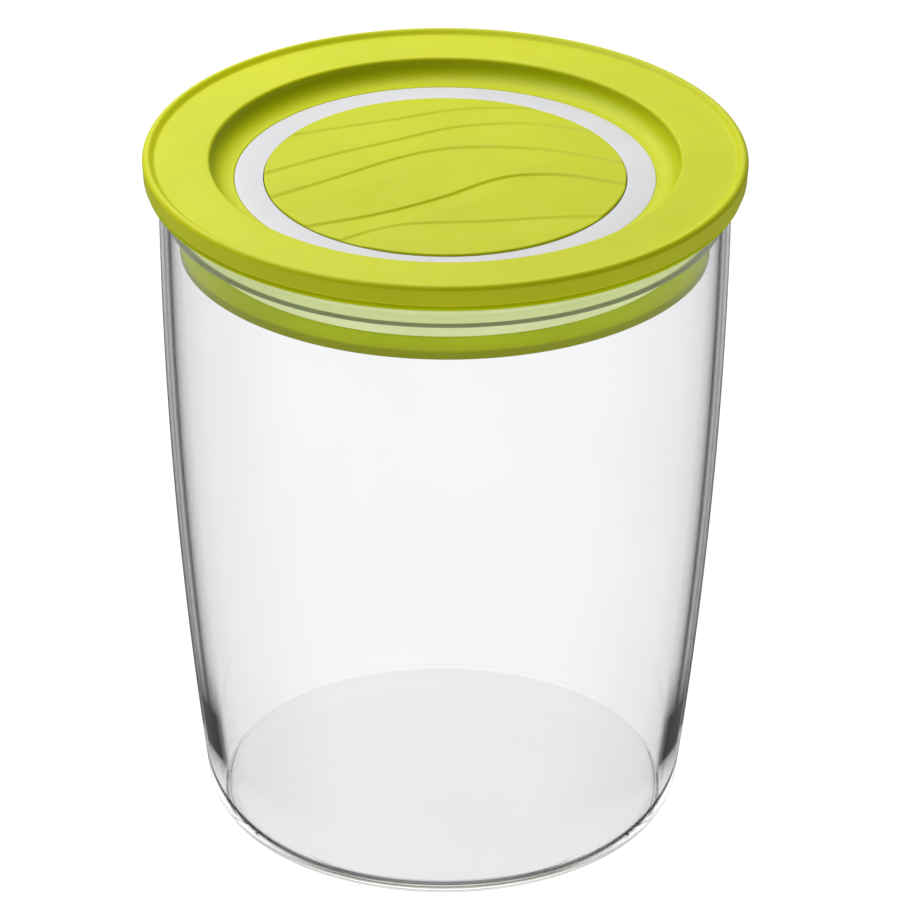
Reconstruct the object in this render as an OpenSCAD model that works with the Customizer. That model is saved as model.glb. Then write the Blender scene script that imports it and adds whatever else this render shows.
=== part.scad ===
// Round clear jar with a press-in sealing lid.
// The jar is one moulding. The lid is a top shell, a plug body, a seal and two inlays.
// The origin is the centre of the base and +Z is up.

/* [Jar] */
// Height of the jar body without its lid
jar_h = 139; // [60:1:220]
// Outside diameter at the rim
rim_d = 113.6; // [113:0.2:116]
// Radius of the long side curve that gives the jar its barrel taper
barrel_r = 1050; // [1000:50:2000]
// How far above the rim the side curve would be at its widest
barrel_top = 7; // [1:1:20]
// Wall thickness at the rim
wall_t = 1.65; // [1.2:0.05:1.8]
// Thickness of the base
base_t = 4.4; // [4:0.1:6]
// Outside radius where the wall turns into the base
heel_r = 8.5; // [6:0.5:9]
// Inside radius of the corner between the wall and the floor
corner_r = 1.2; // [0.8:0.1:3]

/* [Lid top shell] */
// Outside diameter of the lid
lid_d = 120; // [119.8:0.2:130]
// Height of the shell from its lower lip to the top of the bead
shell_h = 4.3; // [4:0.1:8]
// Thickness of the moulded shell
shell_t = 1.8; // [1.4:0.1:2]
// Height of the raised bead round the edge
bead_h = 0.9; // [0.4:0.1:1.2]
// Width of the bead with its inner fillet
bead_w = 2.6; // [2.2:0.1:4]
// Diameter of the recess at the flat top
dish_d = 93.2; // [92:0.2:96]
// Depth of the recess from the flat top to the white ring
dish_depth = 4.2; // [3.6:0.1:5]

/* [Lid inlays] */
// Outside diameter of the white ring
ring_d = 83.6; // [80:0.2:84]
// Diameter of the centre disc
disc_d = 71.8; // [60:0.2:76]
// Thickness of the white ring
ring_t = 1.5; // [1:0.1:2]
// How far the disc stands above the ring
disc_proud = 0.4; // [0:0.1:0.8]
// Depth of the wave lines in the disc
wave_depth = 0.25; // [0.1:0.05:0.4]
// Width of the wave lines
wave_w = 0.5; // [0.3:0.1:1]

/* [Lid plug] */
// Diameter of the plug's flange, under the shell
flange_d = 118.6; // [117:0.2:119.6]
// Thickness of the plug's flange
flange_t = 1.2; // [1:0.1:2]
// Depth of the plug below the jar's rim
plug_depth = 13.5; // [12.5:0.5:24]
// Diameter of the plug's wide lower ring
plug_d = 105.4; // [103:0.2:107]
// Diameter of the wall that the seal is stretched round
seat_d = 96.4; // [95:0.2:98]
// Thickness of the plug's wall
skirt_t = 2; // [1.5:0.1:2]

/* [Seal] */
// Thickness of the seal's band
band_t = 1.6; // [1:0.1:2]
// Height of the seal's band
band_h = 10.3; // [9:0.1:10.5]
// Diameter of the seal's lip, just inside the jar's wall
lip_d = 109.6; // [108:0.2:109.8]
// Depth of the lip's edge below the jar's rim
lip_depth = 5.2; // [4:0.1:7]

/* [Hidden] */
$fn = 180;

// Clearance that lets touching pieces be separate solids
fit_gap = 0.05;
// Height of the lid's flange over the rim it rests on
rest_gap = 0.1;
// Gap between the disc and the white ring
inlay_gap = 0.15;

// Assembly levels, counted up from the base
plug_z = jar_h + rest_gap;
plug_bottom = jar_h - plug_depth;
shell_z = plug_z + flange_t;
lid_top = shell_z + shell_h;
flat_z = lid_top - bead_h;
ring_top = flat_z - dish_depth;
pocket_z = ring_top - ring_t;
floor_z = pocket_z - shell_t;
band_z = plug_z - band_h;

// Radii
rim_r = rim_d / 2;
lid_r = lid_d / 2;
dish_r = dish_d / 2;
ring_r = ring_d / 2;
disc_r = disc_d / 2;
flange_r = flange_d / 2;
plug_r = plug_d / 2;
seat_r = seat_d / 2;
skirt_r = seat_r - skirt_t;
band_r = seat_r + band_t;
lip_r = lip_d / 2;

// Points along an arc in the section plane, from angle a to angle b
function arc(x, z, r, a, b, n) = oval(x, z, r, r, a, b, n);

// Points along an ellipse's arc with radii rx and rz
function oval(x, z, rx, rz, a, b, n) =
    [for (i = [0:n]) let (t = a + (b - a) * i / n) [x + rx * cos(t), z + rz * sin(t)]];

// Points along a smooth step from one point to another, level at both ends
function smooth_step(from, to, n) =
    [for (i = [0:n]) let (k = i / n, s = (1 - cos(180 * k)) / 2)
        [from[0] + (to[0] - from[0]) * k, from[1] + (to[1] - from[1]) * s]];

function reversed(v) = [for (i = [len(v) - 1:-1:0]) v[i]];

// Section of a barrel wall with a rounded lower corner, from its floor up to the level top.
// The long curve has its widest point at the level peak and passes the rim at r.
function barrel_side(r, curve, heel, z, top) =
    let (
        peak = jar_h + barrel_top,
        x = r - sqrt(curve * curve - barrel_top * barrel_top),
        meet = asin((z + heel - peak) / (curve - heel)),
        heel_x = x + (curve - heel) * cos(meet)
    )
    concat(
        arc(heel_x, z + heel, heel, -90, meet, 14),
        arc(x, peak, curve, meet, asin((top - peak) / curve), 24)
    );

// Point on a smooth curve through four points, between the middle two, at k from 0 to 1
function spline_at(a, b, c, d, k) =
    (2 * b + (c - a) * k + (2 * a - 5 * b + 4 * c - d) * k * k + (3 * b - a - 3 * c + d) * k * k * k) / 2;

// Smooth curve through all the points of a list, n steps to each stretch
function spline(p, n) =
    let (last = len(p) - 1)
    [for (i = [0:last - 1]) for (j = [0:n - 1])
        spline_at(p[max(i - 1, 0)], p[i], p[i + 1], p[min(i + 2, last)], j / n)];

// Turned solid from a list of section points
module turned(points) {
    rotate_extrude() polygon(points);
}

// Clear moulded jar, open at the top, with a rounded rim, a round heel and a tight inner corner
module jar() {
    edge = wall_t / 2;
    edge_z = jar_h - edge;
    // The inside curve is tighter, so the wall thickens towards the base
    inner_curve = barrel_r * 0.965;
    color([0.88, 0.89, 0.93, 0.35])
        turned(concat(
            [[0, 0]],
            barrel_side(rim_r, barrel_r, heel_r, 0, edge_z),
            arc(rim_r - edge, edge_z, edge, 10, 170, 8),
            reversed(barrel_side(rim_r - wall_t, inner_curve, corner_r, base_t, edge_z)),
            [[0, base_t]]
        ));
}

// Top shell of the lid: lip, bead, flat top, curved recess and the pocket for the inlays
module lid_shell() {
    draft = 0.2;
    bead_r = 1;
    edge_r = 0.7;
    wall_w = dish_r - ring_r;
    wall_h = dish_depth - edge_r;
    wall_z = ring_top + wall_h;
    lip_in_r = lid_r - shell_t;
    under_z = flat_z - shell_t;
    back_low = -acos(shell_t / (wall_w + shell_t));
    back_high = -asin((wall_z - under_z) / (wall_h + shell_t));
    color([0.80, 0.84, 0.20])
        turned(concat(
            [[lip_in_r, shell_z], [lid_r - draft, shell_z]],
            arc(lid_r - bead_r, lid_top - bead_r, bead_r, 0, 80, 8),
            smooth_step([lid_r - bead_r, lid_top], [lid_r - bead_w, flat_z], 8),
            arc(dish_r + edge_r, flat_z - edge_r, edge_r, 90, 180, 6),
            oval(ring_r, wall_z, wall_w, wall_h, -8, -90, 10),
            [[ring_r, pocket_z], [0, pocket_z], [0, floor_z], [ring_r + shell_t, floor_z]],
            oval(ring_r, wall_z, wall_w + shell_t, wall_h + shell_t, back_low, back_high, 8),
            [[lip_in_r, under_z]]
        ));
}

// Plug body: flange, wall that carries the seal, wide lower ring and inner ledge
module lid_plug() {
    slope_h = 1.1;
    ring_edge = 0.6;
    flange_edge = 0.2;
    ledge_t = 1.2;
    // The inner edge of the flange is cut back to clear the recess in the shell
    throat_r = dish_r + shell_t - 0.5;
    throat_h = 0.7;
    ledge_r = ring_r - fit_gap;
    groove_depth = 1.5;
    groove_out_r = plug_r - 1.6;
    ledge_z = floor_z - fit_gap;
    top_z = shell_z - fit_gap;
    color([0.62, 0.68, 0.13])
        difference() {
            turned(concat(
                [[skirt_r, plug_bottom], [plug_r - ring_edge, plug_bottom]],
                arc(plug_r - ring_edge, plug_bottom + ring_edge, ring_edge, -80, 0, 6),
                [[plug_r, band_z - fit_gap - slope_h], [band_r, band_z - fit_gap]],
                [[seat_r, band_z - fit_gap], [seat_r, plug_z]],
                [[flange_r - flange_edge, plug_z], [flange_r, plug_z + flange_edge]],
                [[flange_r, top_z], [throat_r, top_z], [skirt_r, plug_z - throat_h]],
                [[skirt_r, ledge_z], [ledge_r, ledge_z], [ledge_r, ledge_z - ledge_t]],
                [[skirt_r, ledge_z - ledge_t]]
            ));
            // Coring groove under the wide lower ring
            translate([0, 0, plug_bottom - groove_depth])
                rotate_extrude()
                    translate([seat_r, 0])
                        square([groove_out_r - seat_r, 2 * groove_depth]);
        }
}

// Soft seal: a band round the plug and one thin lip that bends up as it enters the jar
module seal_ring() {
    root = 0.6;
    tip = 0.25;
    bend = 0.8;
    lip_z = jar_h - lip_depth;
    edge = 0.3;
    color([0.86, 0.89, 0.72])
        turned(concat(
            [[seat_r + fit_gap, band_z], [band_r - edge, band_z], [band_r, band_z + edge]],
            [[band_r, lip_z - bend - root]],
            arc(lip_r - tip, lip_z, tip, -75, 75, 6),
            [[band_r, lip_z - bend + root], [band_r, plug_z - edge]],
            [[band_r - edge, plug_z - fit_gap], [seat_r + fit_gap, plug_z - fit_gap]]
        ));
}

// Flat white ring let into the pocket round the disc
module white_ring() {
    color([0.93, 0.93, 0.95])
        translate([0, 0, pocket_z])
            difference() {
                cylinder(r = ring_r - fit_gap, h = ring_t);
                translate([0, 0, -1]) cylinder(r = disc_r + inlay_gap, h = ring_t + 2);
            }
}

// Wave lines on the disc, as points from left to right with +Y away from the front
WAVES = [
    [[-38, 15], [-26, 20], [-11, 25.5], [2, 30.5], [12, 31.5], [24, 30]],
    [[-38, -1], [-22, 9.5], [-10, 16], [1, 22], [11, 24.2], [20, 23.7], [34, 19]],
    [[-38, -13], [-22, -1.5], [-10, 7.5], [-1, 12], [9, 13.2], [21, 11.8], [38, 5]],
    [[-34, -27], [-26, -23], [-13, -17.5], [0, -9.5], [9, -2.2], [15, 0.4], [24, 0.4], [38, -4.5]],
    [[-27, -36], [-20, -29.3], [-13, -24.2], [-7, -22], [9, -20.6], [21, -18.8], [36, -18]]
];

// Centre disc with a softened edge and shallow wave lines
module centre_disc() {
    edge = 0.3;
    height = ring_t + disc_proud;
    half = wave_w / 2;
    color([0.77, 0.82, 0.24])
        translate([0, 0, pocket_z])
            difference() {
                turned(concat(
                    [[0, 0], [disc_r, 0]],
                    arc(disc_r - edge, height - edge, edge, 0, 90, 5),
                    [[0, height]]
                ));
                for (wave = WAVES) {
                    line = spline(wave, 8);
                    translate([0, 0, height - wave_depth])
                        linear_extrude(2 * wave_depth)
                            polygon(concat(
                                [for (p = line) p - [0, half]],
                                reversed([for (p = line) p + [0, half]])
                            ));
                }
            }
}

jar();
lid_shell();
lid_plug();
seal_ring();
white_ring();
centre_disc();
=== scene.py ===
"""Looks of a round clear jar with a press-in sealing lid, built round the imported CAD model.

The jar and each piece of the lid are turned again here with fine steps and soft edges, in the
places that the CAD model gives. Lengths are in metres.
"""

import math

import bpy
from mathutils import Matrix, Vector


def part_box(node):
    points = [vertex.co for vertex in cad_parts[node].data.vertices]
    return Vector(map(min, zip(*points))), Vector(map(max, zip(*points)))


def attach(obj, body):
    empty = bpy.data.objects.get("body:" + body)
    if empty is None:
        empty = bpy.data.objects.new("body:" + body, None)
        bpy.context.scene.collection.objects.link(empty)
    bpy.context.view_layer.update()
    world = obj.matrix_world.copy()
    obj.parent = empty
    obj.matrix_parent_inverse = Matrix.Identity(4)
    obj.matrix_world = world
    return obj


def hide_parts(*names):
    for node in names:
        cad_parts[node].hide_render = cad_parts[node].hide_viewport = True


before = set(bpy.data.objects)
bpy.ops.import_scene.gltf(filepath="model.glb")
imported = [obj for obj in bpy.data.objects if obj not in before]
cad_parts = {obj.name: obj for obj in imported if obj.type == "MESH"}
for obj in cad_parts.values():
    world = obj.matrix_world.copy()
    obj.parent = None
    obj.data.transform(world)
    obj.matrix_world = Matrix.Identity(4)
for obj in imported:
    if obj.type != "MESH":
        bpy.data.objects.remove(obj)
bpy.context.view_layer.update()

MM = 0.001
SEGMENTS = 288
# Points closer than this are one point
SAME_PLACE = 1e-6


# ---------------------------------------------------------------- places from the CAD model


def levels(node):
    """Outside radius, lowest level and highest level of a CAD node."""
    low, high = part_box(node)
    return high.x, low.z, high.z


RIM_R, BASE_Z, RIM_Z = levels("jar")
LID_R, SHELL_FLOOR_Z, LID_TOP = levels("lid_shell")
FLANGE_R, PLUG_BOTTOM, FLANGE_TOP = levels("lid_plug")
LIP_R, BAND_BOTTOM, BAND_TOP = levels("seal_ring")
RING_R, RING_BOTTOM, RING_TOP = levels("white_ring")
DISC_R, DISC_BOTTOM, DISC_TOP = levels("centre_disc")


# ---------------------------------------------------------------- dimensions of the sections

# The jar: wall, floor, heel, inner corner and the long curve of the barrel
WALL_T = 1.65 * MM
FLOOR_T = 4.4 * MM
HEEL_R = 8.5 * MM
CORNER_R = 1.2 * MM
BARREL_R = 1050 * MM
BARREL_TOP = 7 * MM
INNER_CURVE_SHARE = 0.965

# The lid: shell, bead, recess, plug body and the seal on it
SHELL_T = 1.8 * MM
BEAD_H = 0.9 * MM
BEAD_W = 2.6 * MM
DISH_R = 46.6 * MM
DISH_EDGE = 0.7 * MM
FLAT_Z = LID_TOP - BEAD_H
PLUG_R = 52.7 * MM
SEAT_R = 48.2 * MM
SKIRT_R = 46.2 * MM
BAND_R = 49.8 * MM
LEDGE_T = 1.2 * MM
SEAL_GAP = 0.05 * MM
LIP_DEPTH = 5.2 * MM
PLUG_Z = BAND_TOP + SEAL_GAP


# ---------------------------------------------------------------- mesh helpers


def oval(x, z, rx, rz, start, end, steps):
    """Section points along an ellipse's arc, with the angles in degrees."""
    points = []
    for i in range(steps + 1):
        t = math.radians(start + (end - start) * i / steps)
        points.append((x + rx * math.cos(t), z + rz * math.sin(t)))
    return points


def arc(x, z, r, start, end, steps):
    """Section points along a circle's arc."""
    return oval(x, z, r, r, start, end, steps)


def line(start, end, steps):
    """Section points along a straight stretch, both ends included."""
    return [
        (
            start[0] + (end[0] - start[0]) * i / steps,
            start[1] + (end[1] - start[1]) * i / steps,
        )
        for i in range(steps + 1)
    ]


def smooth_step(start, end, steps):
    """Section points along an S that is level at both ends."""
    points = []
    for i in range(steps + 1):
        k = i / steps
        s = (1 - math.cos(math.pi * k)) / 2
        points.append((start[0] + (end[0] - start[0]) * k, start[1] + (end[1] - start[1]) * s))
    return points


def without_doubles(points):
    """The points, less any that repeats the one before it."""
    kept = [points[0]]
    for p in points[1:]:
        if math.dist(p, kept[-1]) > SAME_PLACE:
            kept.append(p)
    return kept


def new_piece(name, verts, faces, body, replaced, slot, material):
    """A smooth mesh object that rides on a body and stands for a CAD node."""
    mesh = bpy.data.meshes.new(name)
    mesh.from_pydata(verts, [], faces)
    mesh.validate()
    mesh.shade_smooth()
    piece = bpy.data.objects.new(name, mesh)
    bpy.context.scene.collection.objects.link(piece)
    mesh.materials.append(material)
    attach(piece, body)
    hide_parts(replaced)


def turned(section, segments=SEGMENTS):
    """Vertices and faces of a section turned about the Z axis, outside outwards.

    The section runs anticlockwise in the (radius, height) plane. It may start and end on the
    axis, and otherwise it closes on itself.
    """
    section = without_doubles(section)
    on_axis = section[0][0] < SAME_PLACE
    verts = []
    rings = []
    for r, z in section:
        if r < SAME_PLACE:
            rings.append([len(verts)])
            verts.append((0, 0, z))
            continue
        rings.append(list(range(len(verts), len(verts) + segments)))
        for k in range(segments):
            a = 2 * math.pi * k / segments
            verts.append((r * math.cos(a), r * math.sin(a), z))
    pairs = list(zip(rings, rings[1:]))
    if not on_axis:
        pairs.append((rings[-1], rings[0]))
    faces = []
    for low, high in pairs:
        for k in range(segments):
            n = (k + 1) % segments
            if len(low) == 1:
                faces.append((low[0], high[n], high[k]))
            elif len(high) == 1:
                faces.append((low[k], low[n], high[0]))
            else:
                faces.append((low[k], low[n], high[n], high[k]))
    return verts, faces


# ---------------------------------------------------------------- material helpers


def linear(r, g, b):
    """Linear colour from screen values of 0 to 255."""

    def channel(c):
        c /= 255
        return c / 12.92 if c <= 0.04045 else ((c + 0.055) / 1.055) ** 2.4

    return (channel(r), channel(g), channel(b), 1.0)


class Nodes:
    """A small helper that adds nodes to a material and links them."""

    def __init__(self, name):
        self.material = bpy.data.materials.new(name)
        self.material.use_nodes = True
        self.tree = self.material.node_tree
        self.shader = self.tree.nodes["Principled BSDF"]
        self.output = self.tree.nodes["Material Output"]
        self.place = self.add("ShaderNodeTexCoord").outputs["Object"]

    def add(self, kind, **settings):
        node = self.tree.nodes.new(kind)
        for key, value in settings.items():
            setattr(node, key, value)
        return node

    def link(self, source, target):
        self.tree.links.new(source, target)

    def noise(self, size, detail=3.0):
        """Noise whose lumps are about size metres across."""
        node = self.add("ShaderNodeTexNoise")
        node.inputs["Scale"].default_value = 1 / size
        node.inputs["Detail"].default_value = detail
        node.inputs["Roughness"].default_value = 0.55
        self.link(self.place, node.inputs["Vector"])
        return node.outputs["Fac"]

    def ramp(self, factor, low, high, low_value, high_value):
        """Factor mapped from low..high to low_value..high_value, clamped."""
        node = self.add("ShaderNodeMapRange")
        node.inputs["From Min"].default_value = low
        node.inputs["From Max"].default_value = high
        node.inputs["To Min"].default_value = low_value
        node.inputs["To Max"].default_value = high_value
        self.link(factor, node.inputs["Value"])
        return node.outputs["Result"]

    def blend(self, factor, a, b):
        """Colour mix from a to b, each a colour or a socket."""
        node = self.add("ShaderNodeMix", data_type="RGBA")
        self.link(factor, node.inputs[0])
        for value, socket in ((a, node.inputs[6]), (b, node.inputs[7])):
            if isinstance(value, bpy.types.NodeSocket):
                self.link(value, socket)
            else:
                socket.default_value = value
        return node.outputs[2]

    def maths(self, operation, a, b):
        """Result of a sum on two values, each a number or a socket."""
        node = self.add("ShaderNodeMath", operation=operation)
        for value, socket in ((a, node.inputs[0]), (b, node.inputs[1])):
            if isinstance(value, bpy.types.NodeSocket):
                self.link(value, socket)
            else:
                socket.default_value = value
        return node.outputs[0]

    def product(self, a, b):
        return self.maths("MULTIPLY", a, b)

    def split(self, vector, axis):
        node = self.add("ShaderNodeSeparateXYZ")
        self.link(vector, node.inputs[0])
        return node.outputs[axis]

    def flattened(self):
        """The place with its height taken out."""
        flat = self.add("ShaderNodeVectorMath", operation="MULTIPLY")
        flat.inputs[1].default_value = (1, 1, 0)
        self.link(self.place, flat.inputs[0])
        return flat.outputs[0]

    def away_from_axis(self):
        """1 where the surface faces away from the jar's axis, and 0 where it faces the axis."""
        dot = self.add("ShaderNodeVectorMath", operation="DOT_PRODUCT")
        self.link(self.flattened(), dot.inputs[0])
        self.link(self.add("ShaderNodeNewGeometry").outputs["Normal"], dot.inputs[1])
        return self.maths("GREATER_THAN", dot.outputs["Value"], 0.5 * MM)

    def back_side(self):
        return self.add("ShaderNodeNewGeometry").outputs["Backfacing"]

    def radius(self):
        """Distance from the Z axis."""
        length = self.add("ShaderNodeVectorMath", operation="LENGTH")
        self.link(self.flattened(), length.inputs[0])
        return length.outputs["Value"]

    def bump(self, height, strength, distance):
        """Normal bent by a height."""
        node = self.add("ShaderNodeBump")
        node.inputs["Strength"].default_value = strength
        node.inputs["Distance"].default_value = distance
        self.link(height, node.inputs["Height"])
        return node.outputs["Normal"]


def moulded(name, base, deep, grain, rough, specular=0.15):
    """Satin moulded plastic: slow colour drift, fine grain and a worn, uneven sheen."""
    m = Nodes(name)
    drift = m.ramp(m.noise(22 * MM, 2.0), 0.35, 0.65, 0.0, 1.0)
    speck = m.ramp(m.noise(0.7 * MM, 2.0), 0.3, 0.7, 0.0, 0.35)
    colour = m.blend(drift, base, deep)
    m.link(m.blend(speck, colour, deep), m.shader.inputs["Base Color"])
    sheen = m.ramp(m.noise(6 * MM, 4.0), 0.3, 0.7, rough - 0.05, rough + 0.07)
    m.link(sheen, m.shader.inputs["Roughness"])
    m.link(m.bump(m.noise(grain, 3.0), 0.25, 0.03 * MM), m.shader.inputs["Normal"])
    m.shader.inputs["Specular IOR Level"].default_value = specular
    return m


def lid_green():
    """The lid's lime green, with painted shade: a deeper colour on the steep wall of the recess.
    """
    m = moulded("lime_lid", linear(206, 212, 16), linear(200, 207, 12), 0.35 * MM, 0.42)
    # Painted shade: the recess wall is deepened in colour, less so at its foot by the ring
    recess_shade_area = m.ramp(m.radius(), DISH_R - 0.2 * MM, DISH_R + 0.5 * MM, 1.0, 0.0)
    sunk = m.ramp(m.split(m.place, "Z"), RING_TOP + 0.3 * MM, RING_TOP + 1.3 * MM, 0.2, 1.0)
    base = m.shader.inputs["Base Color"]
    m.link(m.blend(m.product(recess_shade_area, sunk), base.links[0].from_socket, linear(186, 196, 6)), base)
    return m.material


def plug_green():
    """The lid's green, with painted shade: deeper on the side of the wide ring under the ledge."""
    m = moulded("lime_plug", linear(207, 219, 5), linear(199, 211, 3), 0.5 * MM, 0.45, 0.05)
    # Painted shade on the side of the wide ring, below the ledge
    side = m.ramp(m.split(m.place, "Z"), BAND_BOTTOM - 1.6 * MM, BAND_BOTTOM - 1.1 * MM, 1.0, 0.0)
    base = m.shader.inputs["Base Color"]
    m.link(m.blend(side, base.links[0].from_socket, linear(166, 176, 2)), base)
    return m.material


def disc_green():
    """The disc's green, a little duller than the lid's."""
    light, deep = linear(200, 207, 20), linear(192, 200, 14)
    return moulded("lime_disc", light, deep, 0.3 * MM, 0.46).material


def ring_white():
    """Smooth matt white of the inlay ring."""
    light, deep = linear(217, 217, 221), linear(211, 211, 216)
    return moulded("white_inlay", light, deep, 0.4 * MM, 0.38).material


def seal_silicone():
    """Milky silicone with a painted glow, and painted shade where its thin lip meets the wall."""
    m = Nodes("silicone")
    drift = m.ramp(m.noise(14 * MM, 3.0), 0.3, 0.7, 0.0, 1.0)
    milky = m.blend(drift, linear(234, 241, 194), linear(224, 232, 180))
    # Painted shade: the lip's outer edge, where it meets the jar's wall, is darkened
    tip = m.ramp(m.radius(), LIP_R - 1.6 * MM, LIP_R - 0.9 * MM, 0.0, 1.0)
    colour = m.blend(tip, milky, linear(120, 130, 92))
    m.link(colour, m.shader.inputs["Base Color"])
    # Painted glow: the silicone emits its own colour, standing in for light through the milky
    # rubber, more strongly over the lip
    m.link(colour, m.shader.inputs["Emission Color"])
    painted_glow_strength = m.ramp(m.split(m.place, "Z"), RIM_Z - 6 * MM, RIM_Z - 4.6 * MM, 0.33, 0.5)
    m.link(painted_glow_strength, m.shader.inputs["Emission Strength"])
    m.link(m.ramp(m.noise(5 * MM, 3.0), 0.3, 0.7, 0.38, 0.5), m.shader.inputs["Roughness"])
    m.link(m.bump(m.noise(0.8 * MM, 3.0), 0.2, 0.03 * MM), m.shader.inputs["Normal"])
    m.shader.inputs["Specular IOR Level"].default_value = 0.3
    return m.material


def painted_edge_bands(m, stops):
    """Painted tones by how much the surface turns away from the eye, standing in for the lines
    that refraction shows.
    """
    facing = m.add("ShaderNodeLayerWeight").outputs["Facing"]
    ramp = m.add("ShaderNodeValToRGB")
    m.link(facing, ramp.inputs["Fac"])
    elements = ramp.color_ramp.elements
    while len(elements) < len(stops):
        elements.new(0.5)
    for element, (place, level) in zip(elements, stops):
        element.position = place
        element.color = (level, level, min(1.02 * level, 1.0), 1)
    return ramp.outputs["Color"]


# Level of the painted dark line round the heel, which stands in for a refraction line
LINE_Z = BASE_Z + 5.3 * MM
# How the line climbs as the wall turns aside, from its lowest place, where it faces the eye
FRONT_TURN = 0.11
LINE_CURVE = 1.75
LINE_LIFT = 12 * MM
# Strength of the painted glow in the foot under the line, standing in for the table's light seen
# through it
PAINTED_FOOT_GLOW = 0.42
# Painted edge tones, standing in for the dark lines that refraction in the thick wall shows, as
# (turn away from the eye, tone):
# the upper wall, the part over the heel, the heel itself, and the line round it
PAINTED_EDGE_HIGH = [
    (0.25, 0.95), (0.41, 0.84), (0.54, 0.80), (0.64, 0.70), (0.70, 0.45), (0.76, 0.002),
    (0.785, 0.05), (0.81, 0.3), (0.84, 0.08), (0.90, 0.95),
]
PAINTED_EDGE_LOW = [
    (0.25, 0.95), (0.41, 0.84), (0.54, 0.80), (0.64, 0.66), (0.68, 0.04), (0.71, 0.0005),
    (0.86, 0.0005), (0.91, 0.8),
]
PAINTED_EDGE_FOOT = [(0.25, 0.95), (0.66, 0.90), (0.80, 0.80), (0.93, 0.95)]
PAINTED_HEEL_LINE = [(0.35, 0.15), (0.42, 0.07), (0.53, 0.012), (0.80, 0.006)]


def jar_clear():
    """Clear moulded plastic with painted dark edge lines, standing in for the refraction of a
    thick wall, and a painted glow on the foot.
    """
    m = Nodes("clear_plastic")
    m.shader.inputs["Transmission Weight"].default_value = 1.0
    m.shader.inputs["IOR"].default_value = 1.52
    height = m.split(m.place, "Z")
    waist = m.ramp(height, 29 * MM, 42 * MM, 1.0, 0.0)
    foot = m.ramp(height, 13 * MM, 19 * MM, 1.0, 0.0)
    # Painted edge tones, dark on the wall and light on the foot, in place of the refraction of the
    # thick wall
    edges = m.blend(waist, painted_edge_bands(m, PAINTED_EDGE_HIGH), painted_edge_bands(m, PAINTED_EDGE_LOW))
    edges = m.blend(foot, edges, painted_edge_bands(m, PAINTED_EDGE_FOOT))
    drift = m.ramp(m.noise(40 * MM, 2.0), 0.3, 0.7, 0.0, 1.0)
    clear = m.blend(drift, (0.95, 0.95, 0.952, 1), (0.92, 0.92, 0.925, 1))
    # The inner floor is painted a little darker than the wall, standing in for the dimmer view
    # through the thick base
    floor_z = BASE_Z + FLOOR_T
    on_floor = m.ramp(height, floor_z + 0.02 * MM, floor_z + 0.1 * MM, 1.0, 0.0)
    under_floor = m.ramp(height, floor_z - 0.1 * MM, floor_z - 0.02 * MM, 0.0, 1.0)
    clear = m.blend(m.product(on_floor, under_floor), clear, (0.76, 0.76, 0.765, 1))
    # The painted dark line round the heel, in place of a refraction line
    outward = m.add("ShaderNodeVectorMath", operation="NORMALIZE")
    m.link(m.flattened(), outward.inputs[0])
    turn = m.add("ShaderNodeLayerWeight")
    m.link(outward.outputs[0], turn.inputs["Normal"])
    aside = m.ramp(turn.outputs["Facing"], FRONT_TURN, 1.0, 0.0, 1.0 - FRONT_TURN)
    lift = m.product(m.maths("POWER", aside, LINE_CURVE), LINE_LIFT)
    over_line = m.maths("SUBTRACT", height, lift)
    line_top = m.ramp(over_line, LINE_Z + 0.4 * MM, LINE_Z + 1.1 * MM, 1.0, 0.0)
    line_foot = m.ramp(over_line, LINE_Z - 1.0 * MM, LINE_Z - 0.4 * MM, 0.0, 1.0)
    edges = m.blend(m.product(line_top, line_foot), edges, painted_edge_bands(m, PAINTED_HEEL_LINE))
    outside = m.product(m.away_from_axis(), m.maths("SUBTRACT", 1.0, m.back_side()))
    m.link(m.blend(outside, clear, edges), m.shader.inputs["Base Color"])
    # Weaker reflections than real ones, so the plug stays clear behind the wall
    gloss = m.blend(outside, (0.3, 0.3, 0.3, 1), (0.6, 0.6, 0.6, 1))
    m.link(gloss, m.shader.inputs["Specular Tint"])
    # Painted glow on the outside of the foot under the line
    lip = m.ramp(over_line, LINE_Z - 1.6 * MM, LINE_Z - 1.0 * MM, PAINTED_FOOT_GLOW, 0.0)
    m.shader.inputs["Emission Color"].default_value = (1, 1, 1, 1)
    m.link(m.product(lip, outside), m.shader.inputs["Emission Strength"])
    m.link(m.ramp(m.noise(9 * MM, 3.0), 0.35, 0.75, 0.0, 0.03), m.shader.inputs["Roughness"])
    # The lamps shine straight through
    lamps = m.add("ShaderNodeLightPath").outputs["Is Shadow Ray"]
    open_air = m.add("ShaderNodeBsdfTransparent")
    open_air.inputs["Color"].default_value = (0.97, 0.97, 0.98, 1)
    mix = m.add("ShaderNodeMixShader")
    m.link(lamps, mix.inputs[0])
    m.link(m.shader.outputs[0], mix.inputs[1])
    m.link(open_air.outputs[0], mix.inputs[2])
    m.link(mix.outputs[0], m.output.inputs["Surface"])
    return m.material


# ---------------------------------------------------------------- the jar


def barrel_side(r, curve, heel, floor, top):
    """Half section of a barrel wall with a rounded heel, from its floor up to the level top."""
    peak = RIM_Z + BARREL_TOP
    x = r - math.sqrt(curve**2 - BARREL_TOP**2)
    meet = math.degrees(math.asin((floor + heel - peak) / (curve - heel)))
    heel_x = x + (curve - heel) * math.cos(math.radians(meet))
    top_angle = math.degrees(math.asin((top - peak) / curve))
    wall = arc(x, peak, curve, meet, top_angle, 110)
    return arc(heel_x, floor + heel, heel, -90, meet, 40) + wall


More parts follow.
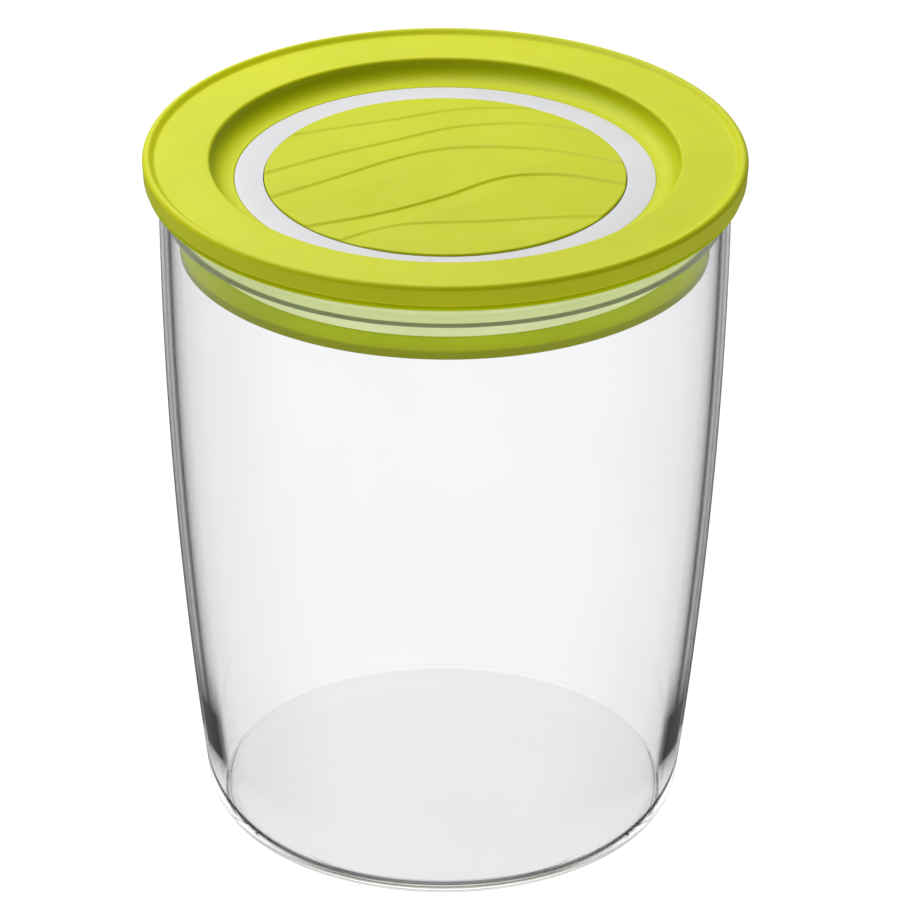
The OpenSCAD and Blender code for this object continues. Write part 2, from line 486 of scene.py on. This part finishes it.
def make_jar():
    """The jar: a barrel wall with a round rim, a rounded heel and a flat floor."""
    edge = WALL_T / 2
    edge_z = RIM_Z - edge
    outer = barrel_side(RIM_R, BARREL_R, HEEL_R, BASE_Z, edge_z)
    inner = barrel_side(
        RIM_R - WALL_T, BARREL_R * INNER_CURVE_SHARE, CORNER_R, BASE_Z + FLOOR_T, edge_z
    )
    base = line((0, BASE_Z), outer[0], 8)
    floor = line(inner[0], (0, BASE_Z + FLOOR_T), 8)
    section = base + outer + arc(RIM_R - edge, edge_z, edge, 0, 180, 20) + inner[::-1] + floor
    new_piece("clear_jar", *turned(section), "jar", "jar", "jar_clear", jar_clear())


# ---------------------------------------------------------------- the lid


def make_shell():
    """Lid shell: lip, bead, flat top, curved recess wall and the pocket for the inlays."""
    bead_r = 1 * MM
    lip_edge = 0.3 * MM
    draft = 0.2 * MM
    lip_z = FLANGE_TOP + SEAL_GAP
    ring_r = RING_R + SEAL_GAP
    wall_w = DISH_R - ring_r
    wall_h = FLAT_Z - DISH_EDGE - RING_TOP
    wall_z = RING_TOP + wall_h
    under_z = FLAT_Z - SHELL_T
    lip_in = LID_R - SHELL_T
    back_low = -math.degrees(math.acos(SHELL_T / (wall_w + SHELL_T)))
    back_high = -math.degrees(math.asin((wall_z - under_z) / (wall_h + SHELL_T)))
    section = (
        line((0, SHELL_FLOOR_Z), (ring_r + SHELL_T, SHELL_FLOOR_Z), 4)
        + oval(ring_r, wall_z, wall_w + SHELL_T, wall_h + SHELL_T, back_low, back_high, 14)
        + [(lip_in, under_z), (lip_in, lip_z)]
        + arc(LID_R - draft - lip_edge, lip_z + lip_edge, lip_edge, -90, 0, 6)
        + line((LID_R - draft, lip_z + lip_edge), (LID_R, LID_TOP - bead_r), 6)
        + arc(LID_R - bead_r, LID_TOP - bead_r, bead_r, 0, 90, 14)
        + smooth_step((LID_R - bead_r, LID_TOP), (LID_R - BEAD_W, FLAT_Z), 16)
        + line((LID_R - BEAD_W, FLAT_Z), (DISH_R + DISH_EDGE, FLAT_Z), 8)
        + arc(DISH_R + DISH_EDGE, FLAT_Z - DISH_EDGE, DISH_EDGE, 90, 180, 10)
        + oval(ring_r, wall_z, wall_w, wall_h, 0, -90, 24)
        + line((ring_r, RING_BOTTOM), (0, RING_BOTTOM), 4)
    )
    return section


def make_plug():
    """Plug body: flange, seal seat, wide lower ring with a coring groove, and inner ledge."""
    slope = 1.1 * MM
    edge = 0.6 * MM
    flange_edge = 0.2 * MM
    ledge_r = RING_R
    throat_r = DISH_R + SHELL_T - 0.5 * MM
    throat_h = 0.7 * MM
    groove_out = PLUG_R - 1.6 * MM
    groove_top = PLUG_BOTTOM + 1.5 * MM
    ledge_z = SHELL_FLOOR_Z - SEAL_GAP
    section = (
        [(SKIRT_R, PLUG_BOTTOM), (SEAT_R, PLUG_BOTTOM), (SEAT_R, groove_top)]
        + [(groove_out, groove_top), (groove_out, PLUG_BOTTOM)]
        + arc(PLUG_R - edge, PLUG_BOTTOM + edge, edge, -90, 0, 10)
        + arc(PLUG_R - 0.4 * MM, BAND_BOTTOM - slope - 0.4 * MM, 0.4 * MM, 0, 60, 6)
        + [(BAND_R, BAND_BOTTOM - SEAL_GAP), (SEAT_R, BAND_BOTTOM - SEAL_GAP)]
        + [(SEAT_R, PLUG_Z)]
        + arc(FLANGE_R - flange_edge, PLUG_Z + flange_edge, flange_edge, -90, 0, 5)
        + [(FLANGE_R, FLANGE_TOP), (throat_r, FLANGE_TOP), (SKIRT_R, PLUG_Z - throat_h)]
        + [(SKIRT_R, ledge_z), (ledge_r, ledge_z), (ledge_r, ledge_z - LEDGE_T)]
        + [(SKIRT_R, ledge_z - LEDGE_T)]
    )
    return section


def make_seal():
    """Seal: a band round the plug, and one lip that bends up at the jar's wall."""
    root = 0.6 * MM
    tip = 0.25 * MM
    bend = 0.8 * MM
    edge = 0.3 * MM
    gap = 0.35 * MM
    lip_z = RIM_Z - LIP_DEPTH
    foot_z = lip_z - bend - root
    foot_w = 0.4 * MM
    foot_h = 0.25 * MM
    section = (
        [(SEAT_R + SEAL_GAP, BAND_BOTTOM + gap)]
        + arc(BAND_R - edge, BAND_BOTTOM + gap + edge, edge, -90, 0, 6)
        + smooth_step((BAND_R, foot_z), (BAND_R + foot_w, foot_z + foot_h), 4)
        + arc(LIP_R - tip, lip_z, tip, -75, 75, 8)
        + [(BAND_R, lip_z - bend + root)]
        + arc(BAND_R - edge, BAND_TOP - edge, edge, 0, 90, 6)
        + [(SEAT_R + SEAL_GAP, BAND_TOP)]
    )
    return section


def make_ring():
    """White ring with softened top edges."""
    edge = 0.15 * MM
    inner = DISC_R + 0.15 * MM
    return (
        [(inner, RING_BOTTOM), (RING_R, RING_BOTTOM)]
        + arc(RING_R - edge, RING_TOP - edge, edge, 0, 90, 5)
        + arc(inner + edge, RING_TOP - edge, edge, 90, 180, 5)
    )


# Wave lines on the disc from back to front, as points from left to right
WAVES_MM = [
    [(-38, 15), (-26, 20), (-11, 25.5), (2, 30.5), (12, 31.5), (24, 30), (38, 26)],
    [(-38, -1), (-22, 9.5), (-10, 16), (1, 22), (11, 24.2), (20, 23.7), (38, 17)],
    [(-38, -13), (-22, -1.5), (-10, 7.5), (-1, 12), (9, 13.2), (21, 11.8), (38, 5)],
    [(-38, -29), (-26, -23), (-13, -17.5), (0, -9.5), (9, -2.2), (15, 0.4), (24, 0.4), (38, -4.5)],
    [(-38, -46), (-27, -36), (-20, -29.3), (-13, -24.2), (-7, -22), (9, -20.6), (21, -18.8),
     (38, -18)],
]
# Depth of each wave's step, its width, and the length of the slow rise before it
WAVE_DEPTHS_MM = [0.24, 0.28, 0.31, 0.38, 0.31]
WAVE_STEP_MM = 0.8
WAVE_RUN_MM = 9


def spline_y(points, x):
    """Height of a smooth curve through the points at x."""
    last = len(points) - 1
    i = 0
    while i < last - 1 and points[i + 1][0] < x:
        i += 1
    a, b, c, d = (points[min(max(j, 0), last)] for j in (i - 1, i, i + 1, i + 2))
    k = min(max((x - b[0]) / (c[0] - b[0]), 0), 1)
    slope_b = (c[1] - a[1]) / (c[0] - a[0]) * (c[0] - b[0])
    slope_c = (d[1] - b[1]) / (d[0] - b[0]) * (c[0] - b[0])
    return (
        (2 * k**3 - 3 * k**2 + 1) * b[1]
        + (k**3 - 2 * k**2 + k) * slope_b
        + (3 * k**2 - 2 * k**3) * c[1]
        + (k**3 - k**2) * slope_c
    )


def wave_drop(x, y):
    """How far the disc's top is sunk at a place, all in millimetres.

    Each wave is a soft step that faces the front, and the disc rises again slowly before it.
    """
    drop = 0.0
    for wave, depth in zip(WAVES_MM, WAVE_DEPTHS_MM):
        gap = y - spline_y(wave, x)
        if -WAVE_RUN_MM < gap < -WAVE_STEP_MM / 2:
            k = (gap + WAVE_RUN_MM) / (WAVE_RUN_MM - WAVE_STEP_MM / 2)
            drop = max(drop, depth * k * k * (3 - 2 * k))
        elif abs(gap) <= WAVE_STEP_MM / 2:
            k = 0.5 - gap / WAVE_STEP_MM
            drop = max(drop, depth * k * k * (3 - 2 * k))
    return drop


def make_disc():
    """Centre disc: a fine polar mesh with a soft edge and the wave steps in its top."""
    edge = 0.3 * MM
    rings = 150
    segments = 576
    side = [(DISC_R, DISC_BOTTOM)] + arc(DISC_R - edge, DISC_TOP - edge, edge, 0, 90, 5)
    top = line((DISC_R - edge, DISC_TOP), (0, DISC_TOP), rings)
    section = line((0, DISC_BOTTOM), (DISC_R, DISC_BOTTOM), 2) + side + top
    verts, faces = turned(section, segments)
    shaped = []
    for x, y, z in verts:
        if z > DISC_TOP - edge / 2:
            z -= wave_drop(x / MM, y / MM) * MM
        shaped.append((x, y, z))
    return shaped, faces


make_jar()
LID_PIECES = [
    ("lid_cover", turned(make_shell()), "lid_shell", "lid_green", lid_green),
    ("lid_plug_body", turned(make_plug()), "lid_plug", "plug_green", plug_green),
    ("lid_seal", turned(make_seal()), "seal_ring", "seal_silicone", seal_silicone),
    ("inlay_ring", turned(make_ring()), "white_ring", "ring_white", ring_white),
    ("inlay_disc", make_disc(), "centre_disc", "disc_green", disc_green),
]
for name, (verts, faces), node, slot, material in LID_PIECES:
    new_piece(name, verts, faces, "lid", node, slot, material())


# ---------------------------------------------------------------- studio


# Brightness of the surroundings as the glossy surfaces and the matt ones see them
SKY_REFLECTED = 0.2
SKY_DIFFUSE = 0.02
# Brightness of the white table, and of the table as glossy surfaces see it
TABLE_GLOW = 1.06
TABLE_REFLECTED = 0.15
# Gap that keeps the table's face and the jar's base apart
FLOOR_GAP = 0.2 * MM


def area_lamp(name, place, size, power):
    """A soft lamp that aims at the lid and is seen by no camera or window ray."""
    lamp = bpy.data.lights.new(name, "AREA")
    lamp.shape = "RECTANGLE"
    lamp.size, lamp.size_y = size
    lamp.energy = power
    piece = bpy.data.objects.new(name, lamp)
    bpy.context.scene.collection.objects.link(piece)
    piece.location = place
    aim = Vector((0, 0, LID_TOP)) - Vector(place)
    piece.rotation_euler = aim.to_track_quat("-Z", "Y").to_euler()
    piece.visible_camera = False
    piece.visible_transmission = False
    return piece


def studio():
    """A bright white table that lights the sides from below, and soft lamps over and behind."""
    floor_mesh = bpy.data.meshes.new("floor")
    half = 3.0
    z = BASE_Z - FLOOR_GAP
    corners = [(-half, -half, z), (half, -half, z), (half, half, z), (-half, half, z)]
    floor_mesh.from_pydata(corners, [], [(0, 1, 2, 3)])
    floor = bpy.data.objects.new("floor", floor_mesh)
    bpy.context.scene.collection.objects.link(floor)
    paper = Nodes("floor_paper")
    paper.shader.inputs["Base Color"].default_value = (0.02, 0.02, 0.02, 1)
    paper.shader.inputs["Roughness"].default_value = 0.9
    paper.shader.inputs["Specular IOR Level"].default_value = 0
    paper.shader.inputs["Emission Color"].default_value = (1, 1, 1, 1)
    rays = paper.add("ShaderNodeLightPath")
    glossy = rays.outputs["Is Glossy Ray"]
    mirrored = paper.maths("SUBTRACT", glossy, rays.outputs["Is Transmission Ray"])
    glow = paper.ramp(mirrored, 0.0, 1.0, TABLE_GLOW, TABLE_REFLECTED)
    paper.link(glow, paper.shader.inputs["Emission Strength"])
    paper.material.cycles.emission_sampling = "NONE"
    floor_mesh.materials.append(paper.material)

    world = bpy.data.worlds.new("studio")
    world.use_nodes = True
    sky = world.node_tree.nodes["Background"]
    sky.inputs["Color"].default_value = (1, 1, 1, 1)
    rays = world.node_tree.nodes.new("ShaderNodeLightPath")
    reflected = world.node_tree.nodes.new("ShaderNodeMath")
    reflected.operation = "MULTIPLY_ADD"
    reflected.inputs[1].default_value = SKY_REFLECTED
    reflected.inputs[2].default_value = SKY_DIFFUSE
    world.node_tree.links.new(rays.outputs["Is Glossy Ray"], reflected.inputs[0])
    seen = world.node_tree.nodes.new("ShaderNodeMath")
    seen.operation = "MAXIMUM"
    world.node_tree.links.new(rays.outputs["Is Transmission Ray"], seen.inputs[0])
    world.node_tree.links.new(reflected.outputs[0], seen.inputs[1])
    world.node_tree.links.new(seen.outputs[0], sky.inputs["Strength"])
    bpy.context.scene.world = world

    area_lamp("overhead", (-0.18, 0.2, 0.62), (0.6, 0.5), 4.35)
    area_lamp("behind", (-0.2, 1.1, 0.7), (1.2, 0.6), 2.6)
    area_lamp("front", (0.35, -0.95, 0.75), (0.6, 0.6), 0.6).visible_glossy = False
    bpy.context.scene.view_settings.view_transform = "Standard"
    bpy.context.scene.cycles.max_bounces = 24
    bpy.context.scene.cycles.transmission_bounces = 24
    bpy.context.scene.cycles.glossy_bounces = 16


# Camera angles in degrees
LOOK_DOWN = 27.25
TILT = 0.28


def camera():
    """A long lens from the front, looking down at the jar at about 27 degrees."""
    data = bpy.data.cameras.new("camera")
    data.lens = 380
    data.sensor_width = 36
    data.clip_end = 20
    cam = bpy.data.objects.new("camera", data)
    bpy.context.scene.collection.objects.link(cam)
    cam.location = (0.0011, -1.697, LID_TOP + 0.808)
    pitch = Matrix.Rotation(math.radians(90 - LOOK_DOWN), 3, "X")
    roll = Matrix.Rotation(math.radians(TILT), 3, "Z")
    cam.rotation_euler = (pitch @ roll).to_euler()
    bpy.context.scene.camera = cam


studio()
camera()
